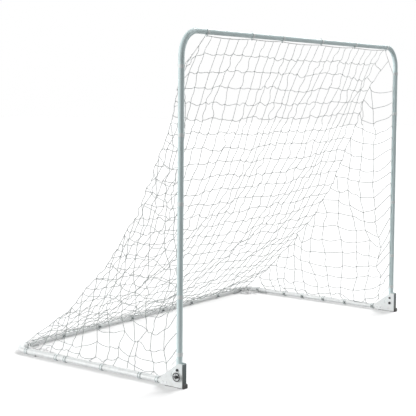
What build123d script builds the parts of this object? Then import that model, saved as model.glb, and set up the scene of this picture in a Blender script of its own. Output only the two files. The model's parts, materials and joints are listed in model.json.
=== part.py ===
from build123d import *
import math
import os

# Folding soccer goal. Millimetres, X along the crossbar, +Y towards the back bar, +Z up.
# The shapes are laid out from the plane of the uprights, where y is 0. The origin of the written
# parts is on the ground at the middle of the goal, mouth_y further back.

mouth_y = 590.0
half_width = 1195.0  # middle plane to the axis of an upright
bar_z = 19.0  # axis of the ground tubes
crossbar_z = 1813.0  # axis of the crossbar
back_y = 1206.0  # axis of the back bar
tube_r = 16.0
bore_r = 14.8
top_bend = 135.0
rear_bend = 90.0
top_leg = 70.0  # straight part of a top corner along the crossbar
top_drop = 110.0  # and down the upright
rear_leg = 70.0

pivot_z = 58.0
upright_foot = 46.0  # lower end of the upright tube
slot_r = 35.0  # curved slot, measured from the pivot
sheet = 2.0  # bracket steel
cheek_in = 16.3
cheek_out = cheek_in + sheet
web_y = -33.0
web_top = 127.0
bracket_toe = 115.0
bracket_low = 3.0  # lower edge of the bracket above the ground
bar_front = -26.0
foot_h = 9.0  # top of the rubber feet
foot_width = 31.0
foot_front = -42.0
foot_back = 88.0
toe_top = 23.0  # rubber toe in front of the bracket

sleeve_r = 14.75
sleeve_bore = 13.2
sleeve_half = 50.0
screw_r = 2.0
screw_at = 25.0  # screw to the tube joint

clip_r = 18.0
clip_width = 20.0
net_t = 0.5
net_bar = 6.0  # strips left between the openings in the net's solids
net_cells = 12  # openings across the back
edge_gap = 0.1  # between the back of the net and its sides, in the solids

handle_r = 21.0  # ring handle, centre of its wire
handle_wire = 2.3
handle_hub = 8.5
handle_off = 8.0  # middle of the ring from the bracket's cheek

crossbar_clips = [-985.0, -566.0, -255.0, 185.0, 607.0, 1047.0]
upright_clips = {"left": [172.0, 466.0, 938.0, 1285.0, 1629.0], "right": [172.0, 388.0, 758.0, 1365.0, 1637.0]}
side_clips = {"left": [138.0, 256.0, 523.0, 793.0, 862.0, 1097.0], "right": [138.0, 357.0, 533.0, 707.0, 862.0, 1097.0]}
back_clips = [-1090.0, -800.0, -480.0, -160.0, 160.0, 480.0, 800.0, 1090.0]
rivet_ys = [70.0, 95.0]

# The net's edge line where its back meets its sides: height, distance back, distance in from the upright.
net_edge = [
    (1782.0, 8.0, 92.0),
    (1650.0, 64.0, 95.0),
    (1500.0, 117.0, 128.0),
    (1350.0, 179.0, 148.0),
    (1200.0, 245.0, 158.0),
    (1050.0, 312.0, 162.0),
    (900.0, 390.0, 165.0),
    (750.0, 474.0, 158.0),
    (620.0, 562.0, 146.0),
    (450.0, 695.0, 138.0),
    (300.0, 850.0, 146.0),
    (200.0, 956.0, 134.0),
    (120.0, 1046.0, 95.0),
    (46.0, 1178.0, 60.0),
]
net_split = 8  # the level above which the net belongs to the front frame

os.makedirs("parts", exist_ok=True)


def sign(side):
    return -1.0 if side == "left" else 1.0


def rod(p, q, r):
    """Round bar from p to q."""
    a = Vector(*p)
    b = Vector(*q)
    plane = Plane(origin=a, z_dir=b - a)
    return plane * Cylinder(r, (b - a).length, align=(Align.CENTER, Align.CENTER, Align.MIN))


def pipe(p, q, r, bore):
    """Straight open tube from p to q."""
    a = Vector(*p)
    b = Vector(*q)
    d = (b - a).normalized()
    return rod(p, q, r) - rod(tuple(a - d), tuple(b + d), bore)


def bent(points, bend):
    """Open tube along two legs with one rounded corner."""
    path = FilletPolyline(*points, radius=bend)
    start = Plane(origin=path @ 0, z_dir=path % 0)
    ring = start * (Circle(tube_r) - Circle(bore_r))
    return sweep(ring, path=path)


def screws(spots, inward):
    """Pan-head screws: each goes from the tube's outside along inward."""
    solids = []
    for spot, way in zip(spots, inward):
        p = Vector(*spot)
        d = Vector(*way)
        head = rod(tuple(p - d * 2.2), tuple(p), 4.0)
        shank = rod(tuple(p), tuple(p + d * 6.0), screw_r)
        solids.append(head + shank)
    return solids


def drilled(shape, spots, inward):
    """Holes for those screws."""
    for spot, way in zip(spots, inward):
        p = Vector(*spot)
        d = Vector(*way)
        shape = shape - rod(tuple(p - d), tuple(p + d * 8.0), screw_r + 0.03)
    return shape


def seated(p, way):
    """A screw seat just outside the tube wall, and the way in."""
    return tuple(Vector(*p) - Vector(*way) * (tube_r + 0.03))


def clip(at, along, out):
    """Net clip: a band round the tube and a mushroom button for the net's rope."""
    c = Vector(*at)
    a = Vector(*along)
    o = Vector(*out)
    p = c - a * (clip_width / 2)
    q = c + a * (clip_width / 2)
    band = pipe(tuple(p), tuple(q), clip_r, tube_r + 0.05)
    stem = rod(tuple(c + o * 17.0), tuple(c + o * 24.0), 3.2)
    cap = rod(tuple(c + o * 24.0), tuple(c + o * 27.0), 5.5)
    return band + stem + cap


def save(shape, name):
    """Write one node, given as a solid or a list of them, about the goal's own origin."""
    solids = shape if isinstance(shape, list) else [shape]
    placed = [Pos(0.0, -mouth_y, 0.0) * solid for solid in solids]
    whole = Compound(children=placed) if len(placed) > 1 else placed[0]
    export_step(whole, "parts/" + name + ".step")


def cheek_outline():
    corners = [
        (web_y, bracket_low),
        (web_y, web_top),
        (-6.0, web_top),
        (bracket_toe - 3.0, 40.0),
        (bracket_toe, bracket_low),
    ]
    face = make_face(Polyline(*corners, close=True).edges())
    rounded = face.vertices().filter_by(lambda v: v.Y > 10.0)
    return fillet(rounded, 7.0)


def curved_slot():
    """The stop stud's slot as a flat ring sector with round ends, in the YZ plane."""
    ring = Circle(slot_r + 4.2) - Circle(slot_r - 4.2)
    quarter = ring & Rectangle(80.0, 80.0, align=(Align.MIN, Align.MIN))
    ends = Pos(0.0, slot_r) * Circle(4.2) + Pos(slot_r, 0.0) * Circle(4.2)
    return Pos(0.0, pivot_z) * (quarter + ends)


def bracket(side):
    """Pressed channel: front web and two triangular cheeks with pivot hole and curved slot."""
    x = sign(side) * half_width
    depth = bracket_toe - web_y
    towards_back = (Align.CENTER, Align.MIN)
    outer = Rectangle(2 * cheek_out, depth, align=towards_back)
    outer = fillet(outer.vertices().sort_by(Axis.Y)[:2], 2 * sheet)
    inner = Pos(0.0, sheet) * Rectangle(2 * cheek_in, depth, align=towards_back)
    inner = fillet(inner.vertices().sort_by(Axis.Y)[:2], sheet)
    channel = extrude(Pos(x, web_y, 0.0) * (outer - inner), web_top)
    flat = cheek_outline() - curved_slot() - Pos(0.0, pivot_z) * Circle(5.05)
    for y in rivet_ys:
        flat = flat - Pos(y, bar_z) * Circle(3.1)
    plane = Plane(origin=(x - 30.0, 0.0, 0.0), x_dir=(0.0, 1.0, 0.0), z_dir=(1.0, 0.0, 0.0))
    return channel & extrude(plane * flat, 60.0)


def ring_handle(side):
    """Ring handle: a wire ring on two spokes and a hub, bored for the pivot bolt's thread."""
    out = sign(side)
    x = out * (half_width + cheek_out)
    middle = (x + out * handle_off, 0.0, pivot_z)
    ring = Plane(origin=middle, z_dir=(out, 0.0, 0.0)) * Torus(handle_r, handle_wire)
    spokes = rod((middle[0], -handle_r, pivot_z), (middle[0], handle_r, pivot_z), handle_wire)
    hub = rod((x + out * 2.2, 0.0, pivot_z), (x + out * 14.0, 0.0, pivot_z), handle_hub)
    cap = rod((x + out * 14.0, 0.0, pivot_z), (x + out * 16.0, 0.0, pivot_z), handle_hub - 2.0)
    hole = rod((x + out, 0.0, pivot_z), (x + out * 12.0, 0.0, pivot_z), 5.05)
    return ring + spokes + hub + cap - hole


def front_foot(side):
    """Rubber foot under the bar, with a toe that wraps the bracket's lower front edge."""
    x = sign(side) * half_width
    length = foot_back - foot_front
    pad = Pos(x, foot_front + length / 2, foot_h / 2) * Box(foot_width, length, foot_h)
    pad = pad - rod((x, foot_front, bar_z), (x, foot_back + 20.0, bar_z), tube_r + 0.05)
    depth = web_y - foot_front
    toe = Pos(x, foot_front + depth / 2, toe_top / 2) * Box(foot_width, depth, toe_top)
    toe = fillet(toe.edges().filter_by(Axis.X).group_by(Axis.Z)[-1].sort_by(Axis.Y)[0], depth - 2.0)
    web_slot = Pos(x, web_y + sheet / 2, bracket_low + 20.0) * Box(60.0, sheet + 0.1, 40.1)
    return pad + toe - web_slot


def foot_pieces(side):
    s = sign(side)
    x = s * half_width
    save(bracket(side), "corner_bracket_" + side)
    save(ring_handle(side), "clamp_knob_" + side)
    washer_in = x + s * (cheek_out + 0.1)
    save(pipe((washer_in, 0, pivot_z), (washer_in + s * 2.0, 0, pivot_z), 11.0, 5.05), "knob_washer_" + side)
    inner = x - s * (cheek_out + 0.1)
    bolt = rod((inner, 0, pivot_z), (x + s * (cheek_out + 11.0), 0, pivot_z), 5.0)
    head_plane = Plane(origin=(inner, 0, pivot_z), x_dir=(0, 1, 0), z_dir=(-s, 0, 0))
    head = extrude(head_plane * RegularPolygon(9.2, 6), 6.0)
    save(bolt + head, "pivot_bolt_" + side)
    bush = pipe((x - 16.2, 0, pivot_z), (x + 16.2, 0, pivot_z), 7.0, 5.05)
    save(bush, "pivot_bush_" + side)
    stud_z = pivot_z + slot_r
    stud = rod((x - cheek_out - 0.3, 0, stud_z), (x + cheek_out + 0.3, 0, stud_z), 4.0)
    for end in (-1.0, 1.0):
        start = x + end * (cheek_out + 0.3)
        stud = stud + rod((start, 0, stud_z), (start + end * 4.0, 0, stud_z), 7.0)
    save(stud, "stop_stud_" + side)
    plug = rod((x, bar_front - 4.0, bar_z), (x, bar_front - 0.05, bar_z), 15.9)
    plug = plug + rod((x, bar_front - 0.05, bar_z), (x, bar_front + 14.0, bar_z), 14.75)
    save(plug, "bar_plug_" + side)
    lower = rod((x, 0, upright_foot - 2.0), (x, 0, upright_foot - 0.05), 14.5)
    lower = lower + rod((x, 0, upright_foot - 0.05), (x, 0, upright_foot + 4.5), 14.7)
    save(lower, "upright_plug_" + side)
    rivets = []
    for y in rivet_ys:
        pin = rod((x - cheek_out - 0.05, y, bar_z), (x + cheek_out + 0.05, y, bar_z), 3.0)
        for end in (-1.0, 1.0):
            start = x + end * (cheek_out + 0.05)
            pin = pin + rod((start, y, bar_z), (start + end * 2.0, y, bar_z), 5.5)
        rivets.append(pin)
    save(rivets, "bracket_rivets_" + side)
    save(front_foot(side), "front_foot_" + side)


def rear_foot(side):
    """Rubber saddles under the two tube joints beside a rear corner."""
    s = sign(side)
    x = s * half_width
    joint_y = back_y - rear_bend - rear_leg
    joint_x = s * (half_width - rear_bend - rear_leg)
    along_side = Pos(x, joint_y, foot_h / 2) * Box(foot_width, 50.0, foot_h)
    bore = rod((x, joint_y - 60.0, bar_z), (x, joint_y + 60.0, bar_z), tube_r + 0.05)
    along_back = Pos(joint_x, back_y, foot_h / 2) * Box(50.0, foot_width, foot_h)
    back_bore = rod((joint_x - 60.0, back_y, bar_z), (joint_x + 60.0, back_y, bar_z), tube_r + 0.05)
    return [along_side - bore, along_back - back_bore]


def base_tubes():
    all_screws = []
    for side in ("left", "right"):
        s = sign(side)
        x = s * half_width
        joint_y = back_y - rear_bend - rear_leg
        joint_x = s * (half_width - rear_bend - rear_leg)
        way = (s, 0, 0)
        side_spots = [seated((x, joint_y + d, bar_z), way) for d in (-screw_at, screw_at)]
        back_way = (0, 1, 0)
        back_spots = [seated((joint_x + d, back_y, bar_z), back_way) for d in (-screw_at, screw_at)]
        bar = pipe((x, bar_front, bar_z), (x, joint_y - 0.1, bar_z), tube_r, bore_r)
        for y in rivet_ys:
            bar = bar - rod((x - 20, y, bar_z), (x + 20, y, bar_z), 3.1)
        save(drilled(bar, side_spots, [way] * 2), "side_bar_" + side)
        corner = bent([(x, joint_y, bar_z), (x, back_y, bar_z), (joint_x, back_y, bar_z)], rear_bend)
        corner = drilled(corner, side_spots + back_spots, [way] * 2 + [back_way] * 2)
        save(corner, "rear_corner_" + side)
        sleeve = pipe((x, joint_y - sleeve_half, bar_z), (x, joint_y + sleeve_half, bar_z), sleeve_r, sleeve_bore)
        save(drilled(sleeve, side_spots, [way] * 2), "side_sleeve_" + side)
        a = (joint_x - sleeve_half, back_y, bar_z)
        b = (joint_x + sleeve_half, back_y, bar_z)
        save(drilled(pipe(a, b, sleeve_r, sleeve_bore), back_spots, [back_way] * 2), "back_sleeve_" + side)
        centre_spots = [seated((d, back_y, bar_z), back_way) for d in (-screw_at, screw_at)]
        half = pipe((joint_x - s * 0.1, back_y, bar_z), (s * 0.05, back_y, bar_z), tube_r, bore_r)
        half = drilled(half, back_spots + centre_spots, [back_way] * 4)
        save(half, "back_bar_" + side)
        all_screws += screws(side_spots + back_spots, [way] * 2 + [back_way] * 2)
        save(rear_foot(side), "rear_foot_" + side)
        clips = [clip((x, y, bar_z), (0, 1, 0), (-s, 0, 0)) for y in side_clips[side]]
        save(clips, "side_bar_clips_" + side)
    a = (-sleeve_half, back_y, bar_z)
    b = (sleeve_half, back_y, bar_z)
    save(drilled(pipe(a, b, sleeve_r, sleeve_bore), centre_spots, [back_way] * 2), "back_bar_sleeve")
    all_screws += screws(centre_spots, [back_way] * 2)
    save(all_screws, "base_screws")
    save([clip((x, back_y, bar_z), (1, 0, 0), (0, -1, 0)) for x in back_clips], "back_bar_clips")


def frame_tubes():
    all_screws = []
    rear = (0, -1, 0)
    for side in ("left", "right"):
        s = sign(side)
        x = s * half_width
        joint_z = crossbar_z - top_bend - top_drop
        joint_x = s * (half_width - top_bend - top_leg)
        up_spots = [seated((x, 0, joint_z + d), rear) for d in (-screw_at, screw_at)]
        bar_spots = [seated((joint_x + d, 0, crossbar_z), rear) for d in (-screw_at, screw_at)]
        mid_spots = [seated((d, 0, crossbar_z), rear) for d in (-screw_at, screw_at)]
        upright = pipe((x, 0, upright_foot), (x, 0, joint_z - 0.1), tube_r, bore_r)
        upright = upright - rod((x - 20, 0, pivot_z), (x + 20, 0, pivot_z), 7.05)
        upright = upright - rod((x - 20, 0, pivot_z + slot_r), (x + 20, 0, pivot_z + slot_r), 4.05)
        save(drilled(upright, up_spots, [rear] * 2), "upright_" + side)
        corner = bent([(x, 0, joint_z), (x, 0, crossbar_z), (joint_x, 0, crossbar_z)], top_bend)
        save(drilled(corner, up_spots + bar_spots, [rear] * 4), "top_corner_" + side)
        sleeve = pipe((x, 0, joint_z - sleeve_half), (x, 0, joint_z + sleeve_half), sleeve_r, sleeve_bore)
        save(drilled(sleeve, up_spots, [rear] * 2), "upright_sleeve_" + side)
        a = (joint_x - sleeve_half, 0, crossbar_z)
        b = (joint_x + sleeve_half, 0, crossbar_z)
        save(drilled(pipe(a, b, sleeve_r, sleeve_bore), bar_spots, [rear] * 2), "corner_sleeve_" + side)
        half = pipe((joint_x - s * 0.1, 0, crossbar_z), (s * 0.05, 0, crossbar_z), tube_r, bore_r)
        save(drilled(half, bar_spots + mid_spots, [rear] * 4), "crossbar_" + side)
        all_screws += screws(up_spots + bar_spots, [rear] * 4)
        clips = [clip((x, 0, z), (0, 0, 1), (-s, 0, 0)) for z in upright_clips[side]]
        save(clips, "upright_clips_" + side)
    a = (-sleeve_half, 0, crossbar_z)
    b = (sleeve_half, 0, crossbar_z)
    save(drilled(pipe(a, b, sleeve_r, sleeve_bore), mid_spots, [rear] * 2), "crossbar_sleeve")
    all_screws += screws(mid_spots, [rear] * 2)
    save(all_screws, "frame_screws")
    save([clip((x, 0, crossbar_z), (1, 0, 0), (0, 0, -1)) for x in crossbar_clips], "crossbar_clips")


def facet(points):
    return make_face(Polyline(*points, close=True).edges()).face()


def skin(facets, way):
    """Closed sheet: flat facets that meet edge to edge, thickened along way."""
    count = {}
    for points in facets:
        for p, q in zip(points, points[1:] + points[:1]):
            count.setdefault(frozenset((p, q)), []).append((p, q))
    faces = []
    for points in facets:
        moved = [tuple(a + b for a, b in zip(p, way)) for p in points]
        faces.append(facet(points))
        faces.append(facet(moved))
    for sides in count.values():
        if len(sides) == 1:
            p, q = sides[0]
            r = tuple(a + b for a, b in zip(q, way))
            t = tuple(a + b for a, b in zip(p, way))
            faces.append(facet([p, q, r, t]))
    solid = Solid(Shell(faces))
    # the order of the facets settles which way the shell faces
    return solid if solid.volume > 0.0 else skin(facets[::-1], way)


def side_line(z):
    """The net's edge beside an upright at height z, as distance in from its axis."""
    bend_z = crossbar_z - top_bend
    if z <= bend_z:
        return 19.0
    rise = z - bend_z
    return top_bend - math.sqrt(max(0.0, (top_bend - 19.0) ** 2 - rise**2))


def back_panel(levels):
    """The back of the net: one flat strip between each pair of levels, with a row of openings."""
    facets = []
    openings = []
    for (za, ya, sa), (zb, yb, sb) in zip(levels, levels[1:]):
        xa = half_width - sa
        xb = half_width - sb
        facets.append([(-xa, ya, za), (xa, ya, za), (xb, yb, zb), (-xb, yb, zb)])
        reach = min(xa, xb) - net_bar / 2
        wide = 2 * reach / net_cells
        window = Box(wide - net_bar, 2 * (yb - ya), za - zb - net_bar)
        for i in range(net_cells):
            x = (i + 0.5) * wide - reach
            openings.append(Pos(x, (ya + yb) / 2, (za + zb) / 2) * window)
    return skin(facets, (0.0, net_t, net_t)) - openings


def inner_corners(corners, border):
    """Corners of the triangle whose sides lie border inside this one's, or none where it is too thin."""
    sides = [math.dist(corners[i - 2], corners[i - 1]) for i in range(3)]
    around = sum(sides)
    centre = [sum(side * corner[k] for side, corner in zip(sides, corners)) / around for k in (0, 1)]
    half = around / 2
    inner_r = math.sqrt((half - sides[0]) * (half - sides[1]) * (half - sides[2]) / half)
    if inner_r < 2 * border:
        return None
    share = 1.0 - border / inner_r
    return [tuple(m + share * (v - m) for v, m in zip(corner, centre)) for corner in corners]


def side_opening(points, s):
    """A prism along X through one triangle of a side panel, or none."""
    corners = inner_corners([(y, z) for x, y, z in points], net_bar / 2)
    if corners is None:
        return []
    plane = Plane(origin=(s * half_width, 0.0, 0.0), x_dir=(0.0, 1.0, 0.0), z_dir=(1.0, 0.0, 0.0))
    return [extrude(plane * make_face(Polyline(*corners, close=True).edges()), 200.0, both=True)]


def side_panel(rim, levels, s):
    """Triangles between the line of points on the tubes and the net's own edge line, each with its opening."""
    edge = [(s * (half_width - inset + edge_gap), y, z) for z, y, inset in levels]
    facets = []
    for a, b, c, d in zip(rim, rim[1:], edge[1:], edge):
        facets.append([a, b, c])
        facets.append([a, c, d])
    openings = []
    for points in facets:
        openings += side_opening(points, s)
    return skin(facets, (s * net_t, 0.0, 0.0)) - openings


def net():
    upper = net_edge[: net_split + 1]
    lower = [(z - 0.4, y + 0.4, inset) for z, y, inset in net_edge[net_split:]]
    top = [back_panel(upper)]
    low = [back_panel(lower)]
    for s in (-1.0, 1.0):
        heights = [1740.0, 1640.0, 1480.0, 1300.0, 1120.0, 920.0, 680.0, 400.0, 170.0]
        rim = [(s * (half_width - side_line(z)), 8.0, z) for z in heights]
        top.append(side_panel(rim, upper, s))
        # from the foot of the upright across the bracket to the side bar and back along it
        ground = [(8.4, 169.4), (118.0, 46.0), (380.0, 46.0), (700.0, 46.0), (960.0, 46.0), (1120.0, 38.0)]
        rim = [(s * (half_width - 19.0), y, z) for y, z in ground]
        low.append(side_panel(rim, lower, s))
    save(top, "net_upper")
    save(low, "net_lower")


for side in ("left", "right"):
    foot_pieces(side)
base_tubes()
frame_tubes()
net()
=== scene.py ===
import bpy
import json
import math
import numpy as np
from mathutils import Matrix, Vector


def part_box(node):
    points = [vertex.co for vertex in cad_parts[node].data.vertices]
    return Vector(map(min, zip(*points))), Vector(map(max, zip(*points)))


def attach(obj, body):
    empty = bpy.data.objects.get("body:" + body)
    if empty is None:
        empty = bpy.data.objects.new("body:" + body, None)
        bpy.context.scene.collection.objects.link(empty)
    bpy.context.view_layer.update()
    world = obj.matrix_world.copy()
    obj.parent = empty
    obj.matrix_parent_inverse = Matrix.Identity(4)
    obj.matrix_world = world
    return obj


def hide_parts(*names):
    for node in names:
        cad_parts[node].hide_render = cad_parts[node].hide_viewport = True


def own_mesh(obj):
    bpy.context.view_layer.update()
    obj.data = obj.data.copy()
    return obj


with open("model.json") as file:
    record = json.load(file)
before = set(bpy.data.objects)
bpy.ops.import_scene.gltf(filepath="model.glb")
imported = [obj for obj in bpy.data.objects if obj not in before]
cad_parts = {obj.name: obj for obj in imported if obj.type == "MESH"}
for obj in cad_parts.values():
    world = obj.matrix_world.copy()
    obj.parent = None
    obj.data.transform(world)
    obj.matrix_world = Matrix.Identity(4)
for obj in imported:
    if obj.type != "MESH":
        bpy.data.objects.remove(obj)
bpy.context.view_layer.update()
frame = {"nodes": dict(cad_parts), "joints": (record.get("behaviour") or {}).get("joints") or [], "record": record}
print("frame loaded:", len(frame["nodes"]), "nodes")

left, right = -1, 1  # the goal's sides, as the sign of x
clipGap = 0.012  # vertices further apart than this belong to two clips


def middle(node, axis):
    low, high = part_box(node)
    return (low[axis] + high[axis]) / 2


def clipPlaces(node, axis, start=0.0):
    # middle of each clip's band along its tube
    values = sorted(vertex.co[axis] - start for vertex in frame["nodes"][node].data.vertices)
    groups = [[values[0]]]
    for value in values[1:]:
        if value - groups[-1][-1] > clipGap:
            groups.append([])
        groups[-1].append(value)
    return [(group[0] + group[-1]) / 2 for group in groups]


# places on the goal, read from the frame; the net is laid out from the plane of the uprights
uprightX = middle("upright_right", 0)
mouthY = middle("upright_right", 1)
crossbarZ = middle("crossbar_right", 2)
barZ = middle("side_bar_right", 2)
backDepth = middle("back_bar_right", 1) - mouthY
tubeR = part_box("upright_right")[1][0] - uprightX
pivotZ = frame["joints"][0]["pos_m"][2]
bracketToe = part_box("corner_bracket_right")[1][1] - mouthY
crossbarClips = clipPlaces("crossbar_clips", 0)
backClips = clipPlaces("back_bar_clips", 0)
uprightClips = {
    left: clipPlaces("upright_clips_left", 2),
    right: clipPlaces("upright_clips_right", 2),
}
sideClips = {
    left: clipPlaces("side_bar_clips_left", 1, mouthY),
    right: clipPlaces("side_bar_clips_right", 1, mouthY),
}


class Wire:
    # one socket of a shader tree, so that maths on it can be written as an expression
    def __init__(self, tree, socket):
        self.tree = tree
        self.socket = socket

    def maths(self, operation, *values):
        node = self.tree.nodes.new("ShaderNodeMath")
        node.operation = operation
        for slot, value in zip(node.inputs, values):
            if isinstance(value, Wire):
                self.tree.links.new(value.socket, slot)
            else:
                slot.default_value = value
        return Wire(self.tree, node.outputs[0])

    def __add__(self, other):
        return self.maths("ADD", self, other)

    def __radd__(self, other):
        return self.maths("ADD", other, self)

    def __sub__(self, other):
        return self.maths("SUBTRACT", self, other)

    def __rsub__(self, other):
        return self.maths("SUBTRACT", other, self)

    def __mul__(self, other):
        return self.maths("MULTIPLY", self, other)

    def __rmul__(self, other):
        return self.maths("MULTIPLY", other, self)


class Nodes:
    # a shader tree, and the one way to add any node to it
    def __init__(self, tree):
        self.tree = tree

    def add(self, kind, settings=None, inputs=None, output=0):
        node = self.tree.nodes.new(kind)
        for key, value in (settings or {}).items():
            setattr(node, key, value)
        for key, value in (inputs or {}).items():
            if isinstance(value, Wire):
                self.tree.links.new(value.socket, node.inputs[key])
            else:
                node.inputs[key].default_value = value
        return Wire(self.tree, node.outputs[output])


class Finish(Nodes):
    # a material with its Principled shader, and the patterns that the finishes share
    def __init__(self, name, **plain):
        self.material = bpy.data.materials.new(name)
        self.material.use_nodes = True
        super().__init__(self.material.node_tree)
        self.shader = self.tree.nodes["Principled BSDF"]
        for socket, value in plain.items():
            self.shader.inputs[socket.replace("_", " ")].default_value = value

    def feed(self, socket, wire):
        self.tree.links.new(wire.socket, self.shader.inputs[socket])

    def place(self):
        return self.add("ShaderNodeTexCoord", output="Object")

    def along(self, axis, vector=None):
        # a place's x, y or z, or another vector's
        return self.add("ShaderNodeSeparateXYZ", inputs={0: vector or self.place()}, output=axis)

    def noise(self, scale, detail, roughness, vector=None):
        inputs = {
            "Vector": vector or self.place(),
            "Scale": scale,
            "Detail": detail,
            "Roughness": roughness,
        }
        return self.add("ShaderNodeTexNoise", inputs=inputs)

    def between(self, value, low, high):
        # 0 below low, 1 above high
        ends = {"Value": value, "From Min": low, "From Max": high}
        return self.add("ShaderNodeMapRange", {"clamp": True}, ends)

    def mixed(self, factor, first, second):
        return self.add("ShaderNodeMix", {"data_type": "RGBA"}, {0: factor, 6: first, 7: second}, 2)

    def edges(self, radius, least=0.01, most=0.12):
        # 1 along sharp edges, 0 on open faces
        soft = self.add("ShaderNodeBevel", {"samples": 4}, {"Radius": radius})
        flat = self.add("ShaderNodeNewGeometry", output="Normal")
        dot = {"operation": "DOT_PRODUCT"}
        alike = self.add("ShaderNodeVectorMath", dot, {0: soft, 1: flat}, "Value")
        return self.between(1.0 - alike, least, most)

    def bump(self, height, strength, distance, under=None):
        inputs = {"Height": height, "Strength": strength, "Distance": distance}
        if under is not None:
            inputs["Normal"] = under
        return self.add("ShaderNodeBump", inputs=inputs)


def shade(value, tint=(1.0, 1.0, 1.0, 1.0)):
    return (value * tint[0], value * tint[1], value * tint[2], 1.0)


# in every finish a scale is that of a noise, finer as it rises,
# and a pair is where a noise, an edge mask or a height starts and ends to count
tubePaintLook = {
    "colour": (0.725, 0.86, 0.867, 1.0),
    "cloudy": 0.93,  # share of the colour in its darker clouds
    "cloudScale": 9.0,
    "clouds": (0.3, 0.7),
    "paintedPale": (0.90, 0.925, 0.925, 1.0),  # painted light: a paler tone near the ground, for the lit look of the ground tubes
    "lowHeights": (0.03, 0.10),
    "worn": (0.46, 0.51, 0.51, 1.0),
    "wornScale": 55.0,
    "wornEdges": 0.0012,
    "wear": (0.78, 1.05),
    "dust": (0.48, 0.46, 0.41, 1.0),
    "dusty": 0.25,
    "dustPatches": (0.45, 0.75),
    "roughness": 0.40,
    "peelScale": 420.0,
    "peelDepth": 0.00012,
    "waviness": 0.0006,
}

bracketPaintLook = dict(
    tubePaintLook,
    colour=(0.88, 0.92, 0.92, 1.0),
    wornEdges=0.0016,
    roughness=0.36,
    front=(0.13, 0.165, 0.17, 1.0),  # painted shade on the faces that turn to the front
    # darker still towards the ground: more painted shade
    frontLow=(0.05, 0.065, 0.065, 1.0),
    frontHeights=(0.02, 0.15),
    frontFacing=(0.6, 0.9),
)


def powderCoat(name, look):
    # satin powder coat over steel: fine orange peel, rubbed edges, a little ground dust, a paler tone near the
    # ground as painted light, and on the brackets painted shade on the front faces
    paint = Finish(name, IOR=1.38, Coat_Weight=0.05, Coat_Roughness=0.2)
    cloud = paint.noise(look["cloudScale"], 4.0, 0.6)
    fine = paint.noise(look["peelScale"], 2.0, 0.5)
    rub = paint.noise(look["wornScale"], 6.0, 0.65)
    edge = paint.edges(look["wornEdges"])
    worn = paint.between(edge * 0.9 + rub * 0.5, *look["wear"])
    low = 1.0 - paint.between(paint.along("Z"), *look["lowHeights"])
    dusty = low * paint.between(rub, *look["dustPatches"]) * look["dusty"]
    clouds = paint.between(cloud, *look["clouds"])
    tone = paint.mixed(clouds, look["colour"], shade(look["cloudy"], look["colour"]))
    # paler near the ground: painted light
    tone = paint.mixed(low, tone, look["paintedPale"])
    # on the brackets, the faces turned to the front get painted shade, darker towards the ground
    if "front" in look:
        facing = paint.along("Y", paint.add("ShaderNodeTexCoord", output="Normal"))
        high = paint.between(paint.along("Z"), *look["frontHeights"])
        paintedShade = paint.mixed(high, look["frontLow"], look["front"])
        tone = paint.mixed(paint.between(0.0 - facing, *look["frontFacing"]), tone, paintedShade)
    tone = paint.mixed(worn, tone, look["worn"])
    tone = paint.mixed(dusty, tone, look["dust"])
    paint.feed("Base Color", tone)
    paint.feed("Roughness", look["roughness"] + 0.10 * (cloud - 0.5) + 0.25 * dusty + 0.12 * worn)
    peel = paint.bump(fine, 0.35, look["peelDepth"])
    paint.feed("Normal", paint.bump(cloud, 0.1, look["waviness"], peel))
    return paint.material


sleeveSteelLook = {
    "colour": (0.50, 0.51, 0.52, 1.0),
    "roughness": 0.35,
    "lineScale": (900.0, 900.0, 60.0),
    "lineDepth": 0.00008,
    "dulled": 0.72,  # share of the colour where it is dull
    "dullScale": 70.0,
    "dull": (0.45, 0.75),
}
zincSteelLook = dict(sleeveSteelLook, colour=(0.66, 0.67, 0.68, 1.0), roughness=0.28)


def brushedSteel(name, look):
    # plain or zinc-plated steel: drawn lines, dull patches
    steel = Finish(name, Metallic=1.0)
    drawn = {"Vector": steel.place(), "Scale": look["lineScale"]}
    lines = steel.noise(1.0, 2.0, 0.5, steel.add("ShaderNodeMapping", inputs=drawn))
    dull = steel.between(steel.noise(look["dullScale"], 4.0, 0.6), *look["dull"])
    steel.feed("Base Color", steel.mixed(dull, look["colour"], shade(look["dulled"], look["colour"])))
    steel.feed("Roughness", look["roughness"] + 0.15 * lines + 0.2 * dull)
    steel.feed("Normal", steel.bump(lines, 0.25, look["lineDepth"]))
    return steel.material


clipPlasticLook = {
    "colour": (0.89, 0.95, 0.952, 1.0),
    "shaded": 0.88,  # share of the colour in its darker patches
    "patchScale": 35.0,
    "patches": (0.35, 0.65),
    "scuffed": (0.5, 0.5, 0.5, 1.0),
    "scuffEdges": 0.0008,
    "scuffs": (0.6, 1.0),
    # painted shade: near-black along the edges of the clips near the ground
    "edgeShade": (0.05, 0.055, 0.055, 1.0),
    "paintedShade": 1.0,
    "edgeShadeScale": 90.0,
    "edgeShadePatches": (0.25, 0.45),
    "edgeShadeReach": (0.0100, 0.004, 0.03),  # width, and the mask's two ends
    "lowHeights": (0.06, 0.12),
    "roughness": 0.45,
    "grainScale": 1500.0,
    "grain": 0.00015,
}
handlePlasticLook = dict(
    clipPlasticLook,
    colour=(0.022, 0.023, 0.024, 1.0),
    paintedShade=0.0,
    roughness=0.48,
    grain=0.0002,
)


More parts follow.
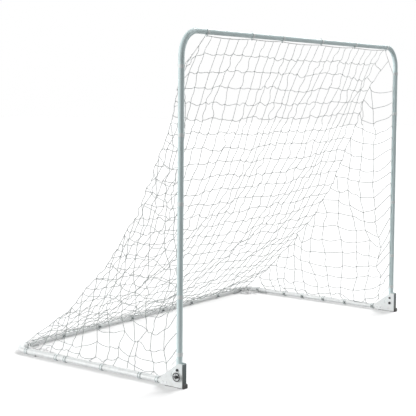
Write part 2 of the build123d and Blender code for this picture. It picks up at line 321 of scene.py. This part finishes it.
def mouldedPlastic(name, look):
    # injection-moulded plastic: fine grain, rubbed edges, and painted shade along the edges of low bands
    plastic = Finish(name, IOR=1.46)
    fine = plastic.noise(look["grainScale"], 2.0, 0.5)
    broad = plastic.noise(look["patchScale"], 4.0, 0.55)
    edge = plastic.edges(look["scuffEdges"])
    scuff = plastic.between(edge * 0.8 + broad * 0.5, *look["scuffs"])
    patches = plastic.between(broad, *look["patches"])
    tone = plastic.mixed(patches, look["colour"], shade(look["shaded"], look["colour"]))
    tone = plastic.mixed(scuff * 0.35, tone, plastic.mixed(0.5, look["colour"], look["scuffed"]))
    # painted shade along the band edges near the ground
    if look["paintedShade"]:
        low = 1.0 - plastic.between(plastic.along("Z"), *look["lowHeights"])
        patches = plastic.between(plastic.noise(look["edgeShadeScale"], 3.0, 0.6), *look["edgeShadePatches"])
        shadedEdges = plastic.edges(*look["edgeShadeReach"]) * patches * low
        tone = plastic.mixed(shadedEdges * look["paintedShade"], tone, look["edgeShade"])
    plastic.feed("Base Color", tone)
    plastic.feed("Roughness", look["roughness"] + 0.18 * (broad - 0.5) - 0.1 * scuff)
    plastic.feed("Normal", plastic.bump(fine, 0.4, look["grain"]))
    return plastic.material


boltSteelLook = {
    "colour": (0.03, 0.031, 0.033, 1.0),
    "bare": (0.24, 0.24, 0.25, 1.0),
    "rubScale": 160.0,
    "rubEdges": 0.0008,
    "rubbed": (0.7, 1.0),
    "roughness": 0.42,
    "grain": 0.0001,
}


def blackSteel(name, look):
    # oxide-black bolts and studs, bare where a spanner has rubbed
    steel = Finish(name, Metallic=0.6)
    rub = steel.noise(look["rubScale"], 5.0, 0.6)
    worn = steel.between(steel.edges(look["rubEdges"]) * 0.8 + rub * 0.5, *look["rubbed"])
    steel.feed("Base Color", steel.mixed(worn * 0.6, look["colour"], look["bare"]))
    steel.feed("Roughness", look["roughness"] + 0.25 * (rub - 0.5))
    steel.feed("Normal", steel.bump(rub, 0.2, look["grain"]))
    return steel.material


footRubberLook = {
    "colour": (0.028, 0.028, 0.028, 1.0),
    "dust": (0.14, 0.13, 0.115, 1.0),
    "dusty": 0.5,
    "dustScale": 40.0,
    "dustPatches": (0.45, 0.75),
    "roughness": 0.72,
    "grainScale": 700.0,
    "grain": 0.0003,
}
greyRubberLook = dict(footRubberLook, colour=(0.62, 0.64, 0.64, 1.0), dust=(0.44, 0.43, 0.40, 1.0))


def footRubber(name, look):
    # moulded rubber with dust in its grain
    rubber = Finish(name, IOR=1.52)
    grain = rubber.noise(look["grainScale"], 3.0, 0.6)
    broad = rubber.noise(look["dustScale"], 4.0, 0.6)
    dusty = rubber.between(broad, *look["dustPatches"]) * look["dusty"]
    rubber.feed("Base Color", rubber.mixed(dusty, look["colour"], look["dust"]))
    rubber.feed("Roughness", look["roughness"] + 0.2 * (broad - 0.5))
    rubber.feed("Normal", rubber.bump(grain, 0.5, look["grain"]))
    return rubber.material


netCordLook = {
    "low": (0.52, 0.55, 0.545, 1.0),  # painted shade: darker low down, by the left side bar
    "lowRight": (0.24, 0.27, 0.265, 1.0),  # and darker still by the right one, away from the left lamp
    "across": (-0.9, 1.1),
    # paler high up, where the painted shade ends
    "high": (0.87, 0.90, 0.895, 1.0),
    "heights": (0.75, 1.75),
    "groove": (0.34, 0.37, 0.37, 1.0),  # painted shade between the strands, and also the colour where the cord is soiled
    "grooves": (0.15, 0.55),
    "soilScale": 3.5,
    "soiled": (0.45, 0.75),
    "roughness": 0.72,
    "layScale": 520.0,
    "layDepth": 0.0005,
    "fibreScale": 2600.0,
    "fibreDepth": 0.0002,
    "lit": 0.0,  # share of the light that passes into the cord
    "litDepth": 0.004,
}
# painted light: a paler copy of the net cord, for the hem gathered on the back bar and the border rope
litCordLook = dict(
    netCordLook,
    low=shade(0.93),
    lowRight=shade(0.93),
    high=shade(0.93),
    groove=shade(0.82),
    lit=1.0,
)


def twistedCord(name, look):
    # twisted polyethylene cord: strands across the lay with painted shade between them, the net's colour shaded by
    # height and side, loose fibres, soil where it is handled
    cord = Finish(
        name,
        IOR=1.5,
        Sheen_Weight=0.15,
        Sheen_Roughness=0.5,
        Subsurface_Weight=look["lit"],
        Subsurface_Radius=(1.0, 1.0, 1.0),
        Subsurface_Scale=look["litDepth"],
    )
    bands = {"wave_type": "BANDS", "bands_direction": "DIAGONAL"}
    twist = {
        "Vector": cord.place(),
        "Scale": look["layScale"],
        "Distortion": 1.2,
        "Detail": 1.0,
        "Detail Scale": 2.0,
    }
    lay = cord.add("ShaderNodeTexWave", bands, twist, "Fac")
    fibre = cord.noise(look["fibreScale"], 2.0, 0.6)
    soil = cord.noise(look["soilScale"], 4.0, 0.6)
    # painted shade in the grooves between the strands
    groove = 1.0 - cord.between(lay, *look["grooves"])
    # painted shade: the cord's colour darker towards the ground and on the right
    across = cord.between(cord.along("X"), *look["across"])
    foot = cord.mixed(across, look["low"], look["lowRight"])
    shadedByPlace = cord.mixed(cord.between(cord.along("Z"), *look["heights"]), foot, look["high"])
    tone = cord.mixed(groove * 0.6, shadedByPlace, look["groove"])
    tone = cord.mixed(cord.between(soil, *look["soiled"]) * 0.35, tone, look["groove"])
    cord.feed("Base Color", tone)
    cord.feed("Roughness", look["roughness"] + 0.12 * (fibre - 0.5))
    strands = cord.bump(lay, 0.7, look["layDepth"])
    cord.feed("Normal", cord.bump(fibre, 0.3, look["fibreDepth"], strands))
    return cord.material


finishes = {
    "tube_paint": powderCoat("tubePaint", tubePaintLook),
    "bracket_paint": powderCoat("bracketPaint", bracketPaintLook),
    "sleeve_steel": brushedSteel("sleeveSteel", sleeveSteelLook),
    "zinc_steel": brushedSteel("zincSteel", zincSteelLook),
    "black_steel": blackSteel("blackSteel", boltSteelLook),
    "clip_plastic": mouldedPlastic("clipPlastic", clipPlasticLook),
    "black_plastic": mouldedPlastic("blackPlastic", handlePlasticLook),
    "foot_rubber": footRubber("footRubber", footRubberLook),
    "grey_rubber": footRubber("greyRubber", greyRubberLook),
    "net_cord": twistedCord("netCord", netCordLook),
}
litCord = twistedCord("litCord", litCordLook)
for part in frame["record"]["subparts"]:
    node = frame["nodes"][part["node"]]
    node.data.materials.clear()
    node.data.materials.append(finishes[part["material_slot"]])
print("finishes made")


netLook = {
    "columns": 26,
    "rows": 24,
    "topRows": 4,  # rows drawn up or down to the rope under the crossbar
    "sideMesh": (0.098, 0.066),  # columns of a side panel: by the upright, and by the back
    "sideReach": 1.1,  # distance over which they narrow
    "sideStep": 0.088,
    "sideEnds": 0.05,  # its rows start this far under the top, and end this far over the ground
    "sideDrop": 0.10,  # share by which the side rows run down towards the upright
    "sideLast": 0.35,  # least share of a mesh left at the back
    "sideLoose": 1.5,
    "sideFoot": 0.0225,  # last columns beside a bracket, in from the upright
    "cordR": 0.0017,
    "slack": 0.020,  # spare length of a cord between two knots
    "gatheredSlack": 0.06,
    "hang": (0.6, 0.5),  # mean and spread of the share of its slack that a cord hangs by
    "sway": 0.4,  # how far a slack cord wanders sideways
    "jitter": 0.005,
    "wave": 0.020,
    "waveSize": 0.45,
    "waveSpread": (0.7, 1.6),  # shares of the size
    "waveCount": 9,
    "ripple": 0.35,  # share of the wave
    "rippleSize": 0.17,
    "give": (0.5, 1.0, 0.7),  # how freely a knot moves along x, y and z
    "bulge": 0.050,  # how much further back the middle hangs than the side edges
    "droop": 0.045,
    "hollow": (1.15, 0.8),  # place and roundness of the hang, down the panel
    "flatness": 4,  # and of its middle, across the panel
    "footScatter": 0.008,
    "footIn": 0.012,
    "footLeast": 0.012,  # shortest end of a side column
    "lowest": 0.0022,  # cords over the ground
    "tubeGap": 0.0003,
    "steps": 5,  # cord pieces between two knots
    "sides": 6,
    "seed": 11,
    # line where the back meets the sides: height, depth behind the mouth, distance in from the upright
    "edge": [
        (1.782, 0.006, 0.092),
        (1.650, 0.064, 0.095),
        (1.500, 0.117, 0.128),
        (1.350, 0.179, 0.148),
        (1.200, 0.245, 0.158),
        (1.050, 0.312, 0.162),
        (0.900, 0.390, 0.165),
        (0.750, 0.474, 0.158),
        (0.620, 0.562, 0.146),
        (0.450, 0.695, 0.138),
        (0.300, 0.850, 0.146),
        (0.200, 0.956, 0.134),
        (0.120, 1.046, 0.095),
        (0.046, 1.165, 0.062),
    ],
}
random = np.random.default_rng(netLook["seed"])
down = np.array([0.0, 0.0, -1.0])
still = np.zeros(3)

ropeLook = {
    "radius": 0.0021,
    "off": 0.0205,  # rope to the axis of its tube
    "depth": 0.0060,
    "groundIn": 0.0150,  # rope on the ground tubes: in from their axis, and over it
    "groundUp": 0.0145,
    "toeSlope": 1.18,  # the side panels' lower border, up over a bracket
    "toeIn": 0.0235,
    "toeUp": 0.014,
    "toeGap": 0.003,
    "barSag": 0.008,
    "cornerSag": 0.010,
    "uprightSag": 0.003,
    "groundSag": 0.007,
    "fullSag": 0.4,  # length from which a span sags in full
    "sagSpread": (0.6, 1.3),
    "steps": 10,
    "sides": 8,
}
ropeInner = uprightX - ropeLook["off"]
ropeHigh = crossbarZ - ropeLook["off"]
ropeLow = barZ + ropeLook["groundUp"]
ropeIn = ropeLook["groundIn"]


def outermost(clips, side):
    return abs(clips[-1] if side > 0 else clips[0])


def topRope(x):
    # height of the border rope under the crossbar and across the cut corners
    side = right if x > 0 else left
    last = outermost(crossbarClips, side)
    if abs(x) <= last:
        return ropeHigh - ropeLook["barSag"] * 0.5
    share = (abs(x) - last) / (ropeInner - last)
    return ropeHigh + share * (uprightClips[side][-1] - ropeHigh)


def sideRope(side, z):
    # the rope's distance from the middle plane, beside an upright or on a cut corner
    high = uprightClips[side][-1]
    if z <= high:
        return ropeInner
    return ropeInner + (z - high) / (ropeHigh - high) * (outermost(crossbarClips, side) - ropeInner)


def backRope(x):
    # depth of the ground rope in front of the back bar and across the rear corners
    side = right if x > 0 else left
    last = outermost(backClips, side)
    line = backDepth - ropeIn
    if abs(x) <= last:
        return line
    return line + (abs(x) - last) / (uprightX - ropeIn - last) * (sideClips[side][-1] - line)


def groundHeight(depth):
    # the lower border of a side panel: along the bar, and slanting up across the bracket
    return ropeLow + max(0.0, bracketToe - depth) * ropeLook["toeSlope"]


def evenly(line, count):
    # points at equal distances along a smoothed line
    for turn in range(2):
        inner = (line[:-2] + 2 * line[1:-1] + line[2:]) / 4
        line = np.vstack([line[:1], inner, line[-1:]])
    steps = np.linalg.norm(np.diff(line[:, :2], axis=0), axis=1)
    along = np.concatenate([[0.0], np.cumsum(steps)])
    spots = np.linspace(0.0, along[-1], count + 1)
    return np.stack([np.interp(spots, along, line[:, k]) for k in range(line.shape[1])], axis=1)


def smoothNoise(points, size, amount, salt):
    # gentle random waves over space
    source = np.random.default_rng(netLook["seed"] + salt)
    total = np.zeros_like(points)
    for turn in range(netLook["waveCount"]):
        way = source.normal(size=3)
        long = size * source.uniform(*netLook["waveSpread"])
        way *= 2 * math.pi / (long * np.linalg.norm(way))
        lift = source.normal(size=3)
        total += lift * np.sin(points @ way + source.uniform(0, 2 * math.pi))[..., None]
    return total * amount / math.sqrt(netLook["waveCount"])


def loosened(grid, firm):
    # knots off their even places, held where firm is 0
    waves = smoothNoise(grid, netLook["waveSize"], netLook["wave"], 1)
    waves = waves + smoothNoise(grid, netLook["rippleSize"], netLook["wave"] * netLook["ripple"], 2)
    jitter = random.normal(scale=netLook["jitter"], size=grid.shape)
    return grid + (waves * np.array(netLook["give"]) + jitter) * firm[..., None]


def pushed(points, axes, centre):
    # moved out to the surface of a tube where they would be inside it
    room = tubeR + netLook["cordR"] + netLook["tubeGap"]
    off = points[:, axes] - np.array(centre)
    size = np.linalg.norm(off, axis=1)
    grow = np.where(size < room, room / np.maximum(size, 1e-6), 1.0)
    points[:, axes] = np.array(centre) + off * grow[:, None]


def clear(points):
    # cords kept on the ground and outside the tubes
    points = np.array(points)
    points[:, 2] = np.maximum(points[:, 2], netLook["lowest"])
    pushed(points, [1, 2], (backDepth, barZ))
    pushed(points, [1, 2], (0.0, crossbarZ))
    for side in (left, right):
        pushed(points, [0, 2], (side * uprightX, barZ))
        pushed(points, [0, 1], (side * uprightX, 0.0))
    return points


def span(p, q, bow, slack):
    # a slack cord between two knots, without its last point
    p = np.asarray(p)
    q = np.asarray(q)
    t = np.linspace(0.0, 1.0, netLook["steps"] + 1)[:-1, None]
    depth = np.linalg.norm(q - p) * math.sqrt(3 * slack / 8)  # of a parabola that much longer
    hump = bow * depth * random.normal(*netLook["hang"])
    swing = netLook["sway"] * depth * random.normal(size=3)
    return p + (q - p) * t + hump * 4 * t * (1 - t) + swing * np.sin(2 * math.pi * t)


def strand(knots, bow, slack=netLook["slack"]):
    pieces = [span(p, q, bow, slack) for p, q in zip(knots, knots[1:])]
    return clear(np.vstack(pieces + [np.asarray(knots[-1])[None]]))


def backPanel():
    crease = evenly(np.array(netLook["edge"])[:, [1, 0, 2]], netLook["rows"])
    across = np.linspace(-1.0, 1.0, netLook["columns"] + 1)
    share = np.linspace(0.0, 1.0, netLook["rows"] + 1)
    place, roundness = netLook["hollow"]
    full = 1.0 - np.abs(across) ** netLook["flatness"]
    hang = np.sin(math.pi * share**place) ** roundness
    x = np.outer(uprightX - crease[:, 2], across)
    y = crease[:, :1] + netLook["bulge"] * np.outer(hang, full)
    z = crease[:, 1:2] - netLook["droop"] * np.outer(hang, full)
    grid = np.stack([x, y, z], axis=2)
    top = netLook["topRows"]
    for i in range(netLook["columns"] + 1):
        high, low = grid[0, i, 2], grid[top, i, 2]
        part = ((grid[: top + 1, i, 2] - low) / (high - low)).copy()
        grid[: top + 1, i, 2] = low + (topRope(grid[0, i, 0]) - low) * part
        grid[: top + 1, i, 1] = grid[top, i, 1] + (ropeLook["depth"] - grid[top, i, 1]) * part
    return grid


rowCount = netLook["rows"]
columnCount = netLook["columns"]
rows = np.arange(rowCount + 1)
firmRows = np.clip(np.minimum(rows, rowCount - rows) / 2.0, 0.0, 1.0)
back = loosened(backPanel(), np.outer(firmRows, np.ones(columnCount + 1)))
strands = []
bunched = []
knotSpots = []


hemLook = {
    # rows gathered on the back bar: distance from its axis, height, spare length along the row
    "rows": [(-0.006, 0.0390, 0.05)],
    "forward": 0.7,  # how far they lean over the front of the bar as they sag
    "jitter": 0.006,
    "spread": (1.6, 1.0, 0.35),
    "cornerLift": 11.0,  # how fast a row's height changes where the rope leaves the bar
    "cornerLeast": -0.5,
    "gathers": 4,  # cords bunched along the bar
    "around": (60.0, 120.0),  # from the front of the bar, up over its top
    "aroundJitter": 12.0,
    "alongJitter": 0.025,
    "off": (0.0185, 0.0250),
}


def hemRows():
    hem = []
    for off, height, slack in hemLook["rows"]:
        row = back[-1].copy()
        for spot in row:
            cut = backRope(spot[0]) - (backDepth - ropeIn)
            spot[1] = backDepth + off + cut
            spot[2] = height * (1.0 + max(hemLook["cornerLeast"], hemLook["cornerLift"] * cut))
        jitter = random.normal(scale=hemLook["jitter"], size=row.shape)
        row += jitter * np.array(hemLook["spread"])
        hem.append((clear(row), slack))
    return hem


hem = hemRows()
for j in range(1, rowCount + 1):
    strands.append(strand(back[j], down))
for row, slack in hem:
    bunched.append(strand(row, down + np.array([0.0, -hemLook["forward"], 0.0]), slack))
for i in range(columnCount + 1):
    chain = list(back[:, i]) + [row[i] for row, slack in hem]
    x = chain[-1][0]
    chain.append(np.array([x, backRope(x), ropeLow]))
    strands.append(strand(chain, still))
knotSpots += [back[j, i] for j in range(1, rowCount + 1) for i in range(columnCount + 1)]
knotSpots += [spot for row, slack in hem for spot in row]


def gathers():
    # slack netting bunched along the front and top of the back bar
    count = columnCount + 1
    for turn in range(hemLook["gathers"]):
        xs = np.sort(back[-1, :, 0] + random.normal(scale=hemLook["alongJitter"], size=count))
        lean = random.uniform(*hemLook["around"])
        lean = np.radians(lean + random.normal(scale=hemLook["aroundJitter"], size=count))
        off = random.uniform(*hemLook["off"], size=count)
        ys = [backRope(x) + ropeIn for x in xs] - off * np.cos(lean)
        zs = barZ + off * np.sin(lean)
        cord = clear(np.stack([xs, ys, zs], axis=1))
        bunched.append(strand(cord, still, netLook["gatheredSlack"]))


def sidePanel(side):
    # rows at even heights from the back panel's edge to the upright, knots in line above each other
    edge = back[:, -1] if side > 0 else back[:, 0]
    heights = edge[:, 2] - [groundHeight(depth) for depth in edge[:, 1]]
    foot = groundHeight(ropeLook["depth"])
    near, far = netLook["sideMesh"]
    ends, drop = netLook["sideEnds"], netLook["sideDrop"]
    table = []
    for height in np.arange(heights[0] - ends, ends, -netLook["sideStep"]):
        corner = np.array([np.interp(height, heights[::-1], edge[::-1, k]) for k in range(3)])
        endZ = foot + height * (1 - drop)
        rim = np.array([side * sideRope(side, endZ), ropeLook["depth"], endZ])
        reach = np.linalg.norm((corner - rim)[:2])
        knots = []
        along = near
        while along < reach - far * netLook["sideLast"]:
            share = along / reach
            spot = rim + (corner - rim) * share
            spot[2] = groundHeight(spot[1]) + height * (1 - drop * (1 - share))
            knots.append(spot)
            along += near + (far - near) * min(1.0, along / netLook["sideReach"])
        if knots:
            knots = list(loosened(np.array(knots), np.full(len(knots), netLook["sideLoose"])))
        table.append((rim, knots, corner))
    return table


def sidePieces(side):
    table = sidePanel(side)
    most = max(len(knots) for rim, knots, corner in table)
    feet = []
    for rim, knots, corner in table:
        strands.append(strand([rim, *knots, corner], down))
        knotSpots.extend([*knots, corner])
    for k in range(most):
        first = next(index for index, row in enumerate(table) if len(row[1]) > k)
        chain = [table[max(0, first - 1)][2]]
        chain += [knots[k] for rim, knots, corner in table[first:] if len(knots) > k]
        foot = chain[-1].copy()
        foot[0] = side * (uprightX - (ropeIn if foot[1] > bracketToe else netLook["sideFoot"]))
        foot[2] = groundHeight(foot[1])
        if chain[-1][2] - foot[2] > netLook["footLeast"]:
            loose = (chain[-1] + 2 * foot) / 3 + random.normal(scale=netLook["footScatter"], size=3)
            loose = loose - np.array([side * netLook["footIn"], 0, 0])
            chain += [loose, foot]
            feet.append(loose)
        strands.append(strand(chain, still))
    feet = sorted(feet, key=lambda spot: spot[1])
    knotSpots.extend(feet)
    strands.append(strand(feet, down, netLook["gatheredSlack"]))


loopLook = {
    "count": 6,  # in each rear corner
    "place": (0.105, 0.010, 0.016),  # in from the upright, behind the last clip, height
    "scatter": (0.030, 0.034, 0.005),
    "size": 0.034,
    "shares": (0.5, 1.15),  # smallest and largest loop
    "narrow": (0.45, 1.0),
    "wobble": (0.35, 0.15),
    "turn": 6.3,
    "rise": 0.014,
    "lift": (-0.012, 0.012),
    "off": 0.024,  # loops to the axes of the tubes
    "points": 22,
}


def loops(side):
    # netting gathered in a rear corner: loops of cord lying on the tubes and the ground
    look = loopLook
    inward, behind, high = look["place"]
    centre = np.array([side * (uprightX - inward), sideClips[side][-1] + behind, high])
    big, small = look["wobble"]
    t = np.linspace(0.0, 2 * math.pi, look["points"])
    for turn in range(look["count"]):
        size = look["size"] * random.uniform(*look["shares"])
        lean = random.uniform(0.0, 2 * math.pi)
        wobble = 1.0 + big * np.sin(2 * t + random.uniform(0, look["turn"]))
        wobble = wobble + small * np.sin(3 * t + random.uniform(0, look["turn"]))
        x = size * wobble * np.cos(t)
        y = size * wobble * np.sin(t) * random.uniform(*look["narrow"])
        z = look["rise"] * np.sin(t + random.uniform(0, look["turn"])) + random.uniform(*look["lift"])
        acrossX = x * math.cos(lean) - y * math.sin(lean)
        acrossY = x * math.sin(lean) + y * math.cos(lean)
        ring = np.stack([acrossX, acrossY, z], axis=1)
        place = centre + random.normal(size=3) * np.array(look["scatter"])
        ring = ring + place
        ring[:, 0] = np.clip(ring[:, 0], look["off"] - uprightX, uprightX - look["off"])
        ring[:, 1] = np.minimum(ring[:, 1], backDepth - look["off"])
        bunched.append(clear(ring))


gathers()
for side in (left, right):
    sidePieces(side)
    loops(side)
print("net laid out:", len(strands), "strands,", len(knotSpots), "knots")


def above(point):
    # which half of the net: over the 45 degree plane through the hinge it belongs to the front frame
    return (point[..., 2] - pivotZ) - point[..., 1]


def halves(path):
    # cuts a path where it crosses from one half of the net to the other
    sign = above(path)
    parts = {True: [], False: []}
    start = [path[0]]
    for p, q, a, b in zip(path, path[1:], sign, sign[1:]):
        if (a >= 0) != (b >= 0):
            cut = p + (q - p) * (a / (a - b))
            start.append(cut)
            parts[bool(a >= 0)].append(np.array(start))
            start = [cut]
        start.append(q)
    parts[bool(sign[-1] >= 0)].append(np.array(start))
    return parts


def tube(path, radius, sides):
    # vertices and faces of a round cord along a path, with closed ends
    keep = np.concatenate([[True], np.linalg.norm(np.diff(path, axis=0), axis=1) > 1e-5])
    path = path[keep]
    if len(path) < 2:
        return np.zeros((0, 3)), []
    run = np.gradient(path, axis=0)
    run /= np.linalg.norm(run, axis=1)[:, None]
    side = np.cross(run[0], [0.3, 0.5, 0.81])  # from any direction off the path
    rings = []
    turn = 2 * math.pi * np.arange(sides) / sides
    for point, way in zip(path, run):
        side = side - way * (side @ way)
        side /= np.linalg.norm(side)
        other = np.cross(way, side)
        rings.append(point + radius * (np.outer(np.cos(turn), side) + np.outer(np.sin(turn), other)))
    count = len(path)
    faces = []
    for a in range(count - 1):
        for b in range(sides):
            c = (b + 1) % sides
            faces.append((a * sides + b, a * sides + c, (a + 1) * sides + c, (a + 1) * sides + b))
    faces.append(tuple(range(sides))[::-1])
    faces.append(tuple((count - 1) * sides + b for b in range(sides)))
    return np.vstack(rings), faces


def gathered(parts):
    # many (vertices, faces) as one
    verts = []
    faces = []
    start = 0
    for points, quads in parts:
        verts.append(points)
        faces += [tuple(n + start for n in quad) for quad in quads]
        start += len(points)
    return np.vstack(verts), faces


def cords(paths, radius, sides):
    return gathered([tube(path, radius, sides) for path in paths])


knotLook = {
    "wraps": ((0.5, 1.25), (-0.6, 1.1)),  # lean and size of each, in cord radii
    "thin": 0.85,
    "points": 10,
    "sides": 5,
    "lean": 0.35,
    "across": (0.0, 0.4, -1.0),
}


def knotShape(radius):
    # two small wraps of cord, one over the other
    rings = []
    turn = np.linspace(0, 2 * math.pi, knotLook["points"])
    for lean, big in knotLook["wraps"]:
        ring = [lean * np.sin(turn), big * np.cos(turn), big * np.sin(turn)]
        rings.append(radius * np.stack(ring, axis=1))
    return cords(rings, radius * knotLook["thin"], knotLook["sides"])


def rotationTo(along, across):
    x = along / np.linalg.norm(along)
    z = np.cross(x, across)
    z /= np.linalg.norm(z)
    return np.stack([x, np.cross(z, x), z], axis=1)


def meshObject(name, verts, faces, slotName):
    mesh = bpy.data.meshes.new(name)
    verts = np.asarray(verts) + np.array([0.0, mouthY, 0.0])
    mesh.from_pydata(verts.tolist(), [], faces)
    mesh.shade_smooth()
    mesh.materials.append(finishes[slotName])
    piece = bpy.data.objects.new(name, mesh)
    bpy.context.scene.collection.objects.link(piece)
    return piece


cordR = netLook["cordR"]
knotVerts, knotFaces = knotShape(cordR)
cordParts = {True: [], False: []}
for path in strands:
    for upper, pieces in halves(path).items():
        cordParts[upper] += [tube(piece, cordR, netLook["sides"]) for piece in pieces]
for spot in knotSpots:
    lean = random.normal(size=3) * knotLook["lean"] + np.array([1.0, 0.0, 0.0])
    turned = knotVerts @ rotationTo(lean, np.array(knotLook["across"])).T + spot
    cordParts[bool(above(spot) >= 0)].append((turned, knotFaces))
netUpper = meshObject("netUpper", *gathered(cordParts[True]), "net_cord")
netLower = meshObject("netLower", *gathered(cordParts[False]), "net_cord")
netHem = meshObject("netHem", *cords(bunched, cordR, netLook["sides"]), "net_cord")


def ropeStops():
    # where the border rope is held, in order round the goal, and how it sags towards the next place
    depth = ropeLook["depth"]
    inward = {side: np.array([-side, 0.0, 0.0]) for side in (left, right)}
    beside = ropeLook["uprightSag"]
    corner = down * ropeLook["cornerSag"]
    stops = [((-ropeInner, depth, z), inward[left] * beside) for z in uprightClips[left]]
    stops[-1] = (stops[-1][0], corner)
    stops += [((x, depth, ropeHigh), down * ropeLook["barSag"]) for x in crossbarClips]
    stops[-1] = (stops[-1][0], corner)
    stops += [((ropeInner, depth, z), inward[right] * beside) for z in reversed(uprightClips[right])]
    toeX = uprightX - ropeLook["toeIn"]
    toeY = bracketToe - ropeLook["toeGap"]
    toeZ = ropeLow + ropeLook["toeUp"]
    barX = uprightX - ropeIn
    sag = ropeLook["groundSag"]
    stops += [((toeX, toeY, toeZ), still)]
    stops += [((barX, y, ropeLow), (inward[right] + down) * sag) for y in sideClips[right]]
    toward = np.array([0.0, -1.0, -1.0]) * sag
    stops += [((x, backDepth - ropeIn, ropeLow), toward) for x in reversed(backClips)]
    stops += [((-barX, y, ropeLow), (inward[left] + down) * sag) for y in reversed(sideClips[left])]
    stops += [((-toeX, toeY, toeZ), still), stops[0]]
    return stops


def borderRope():
    stops = ropeStops()
    path = []
    t = np.linspace(0.0, 1.0, ropeLook["steps"] + 1)[:-1, None]
    for (p, sag), (q, nextSag) in zip(stops, stops[1:]):
        p, q = np.array(p), np.array(q)
        share = min(1.0, np.linalg.norm(q - p) / ropeLook["fullSag"])
        share = share * random.uniform(*ropeLook["sagSpread"])
        path.append(p + (q - p) * t + sag * share * 4 * t * (1 - t))
    return np.vstack(path + [np.array(stops[-1][0])[None]])


ropes = halves(borderRope())
ropeShape = (ropeLook["radius"], ropeLook["sides"])
ropeUpper = meshObject("ropeFrame", *cords(ropes[True], *ropeShape), "net_cord")
ropeLower = meshObject("ropeGround", *cords(ropes[False], *ropeShape), "net_cord")
# the hem and the rope take the paler, painted-light copy of the cord
for piece in (netHem, ropeUpper, ropeLower):
    piece.data.materials[0] = litCord
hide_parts("net_upper")
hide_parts("net_lower")
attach(netUpper, "front_frame")
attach(ropeUpper, "front_frame")
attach(netLower, "base")
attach(ropeLower, "base")
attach(netHem, "base")
# folded, each half lies flat in its own frame
for piece in (netUpper, ropeUpper):
    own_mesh(piece)
for piece in (netLower, ropeLower, netHem):
    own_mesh(piece)
print("net made")


cameraLook = {
    "place": (-5.329, -3.194, 1.495),  # from the middle of the mouth, on the ground
    "azimuth": 53.81,
    "down": 3.67,
    "roll": 0.47,
    "lens": 90.26,
    "sensor": 36.0,
    "shift": -0.115,
    "far": 60.0,
}


def makeCamera(look):
    data = bpy.data.cameras.new("camera")
    data.lens = look["lens"]
    data.sensor_width = look["sensor"]
    data.shift_y = look["shift"]
    data.clip_end = look["far"]
    camera = bpy.data.objects.new("camera", data)
    bpy.context.scene.collection.objects.link(camera)
    azimuth = math.radians(-look["azimuth"])
    pitch = math.radians(look["down"])
    roll = math.radians(look["roll"])
    flat = math.cos(pitch)
    ahead = Vector((-math.sin(azimuth) * flat, math.cos(azimuth) * flat, -math.sin(pitch)))
    level = Vector((math.cos(azimuth), math.sin(azimuth), 0.0))
    upright = level.cross(ahead)
    across = level * math.cos(roll) + upright * math.sin(roll)
    up = across.cross(ahead)
    turn = Matrix((across, up, -ahead)).transposed()
    place = Vector(look["place"]) + Vector((0.0, mouthY, 0.0))
    camera.matrix_world = Matrix.Translation(place) @ turn.to_4x4()
    bpy.context.scene.camera = camera


lightLook = {
    # level 1 lights a white surface facing the lamp up to white
    "top": {"from": (1.15, 0.0, 1.0), "softness": 35.0, "level": 0.98},
    "left": {"from": (-0.74, 0.67, 0.20), "softness": 30.0, "level": 0.95},
    "front": {"from": (0.35, -1.0, 0.15), "softness": 60.0, "level": 0.33},
    "world": 0.16,
}


def makeLamp(name, look):
    data = bpy.data.lights.new(name, "SUN")
    data.angle = math.radians(look["softness"])
    data.energy = look["level"] * math.pi
    lamp = bpy.data.objects.new(name, data)
    bpy.context.scene.collection.objects.link(lamp)
    lamp.rotation_euler = Vector(look["from"]).to_track_quat("Z", "Y").to_euler()


def whiteRays(nodes):
    # 1 for the rays that should see a white background
    camera = nodes.add("ShaderNodeLightPath", output="Is Camera Ray")
    glossy = nodes.add("ShaderNodeLightPath", output="Is Glossy Ray")
    clear = nodes.add("ShaderNodeLightPath", output="Is Transmission Ray")
    return camera.maths("MAXIMUM", camera.maths("MAXIMUM", camera, glossy), clear)


def makeWorld(level):
    world = bpy.data.worlds.new("studio")
    world.use_nodes = True
    bpy.context.scene.world = world
    nodes = Nodes(world.node_tree)
    sky = nodes.tree.nodes["Background"]
    sky.inputs["Color"].default_value = shade(1.0)
    strength = whiteRays(nodes) * (1.0 - level) + level
    nodes.tree.links.new(strength.socket, sky.inputs["Strength"])


floorLook = {
    "colour": 0.93,  # as the camera sees it
    "grain": 0.01,
    "grainScale": 300.0,
    "near": 0.50,  # as it lights the goal from below, close by and further off
    "far": 0.08,
    "reach": (1.2, 2.6),
    "glow": 0.19,
    "half": 40.0,
}


def makeFloor(look):
    floor = Finish("floorPaper", Roughness=0.9, Specular_IOR_Level=0.0, Emission_Strength=1.0)
    seen = whiteRays(floor)
    grain = floor.noise(look["grainScale"], 2.0, 0.5)
    darker = shade(look["colour"] * (1.0 - look["grain"]))
    paler = shade(look["colour"] * (1.0 + look["grain"]))
    paper = floor.mixed(grain, darker, paler)
    away = floor.add("ShaderNodeVectorMath", {"operation": "LENGTH"}, {0: floor.place()}, "Value")
    far = floor.between(away, *look["reach"])
    sheet = floor.mixed(far, shade(look["near"]), shade(look["far"]))
    floor.feed("Base Color", floor.mixed(seen, sheet, paper))
    floor.feed("Emission Color", floor.mixed(seen, shade(0.0), shade(look["glow"])))
    half = look["half"]
    mesh = bpy.data.meshes.new("floor")
    corners = [(-half, -half, 0.0), (half, -half, 0.0), (half, half, 0.0), (-half, half, 0.0)]
    mesh.from_pydata(corners, [], [(0, 1, 2, 3)])
    mesh.materials.append(floor.material)
    plane = bpy.data.objects.new("floor", mesh)
    bpy.context.scene.collection.objects.link(plane)


makeCamera(cameraLook)
makeLamp("lampTop", lightLook["top"])
makeLamp("lampLeft", lightLook["left"])
makeLamp("lampFront", lightLook["front"])
makeWorld(lightLook["world"])
makeFloor(floorLook)
bpy.context.scene.view_settings.view_transform = "Standard"
print("studio made")
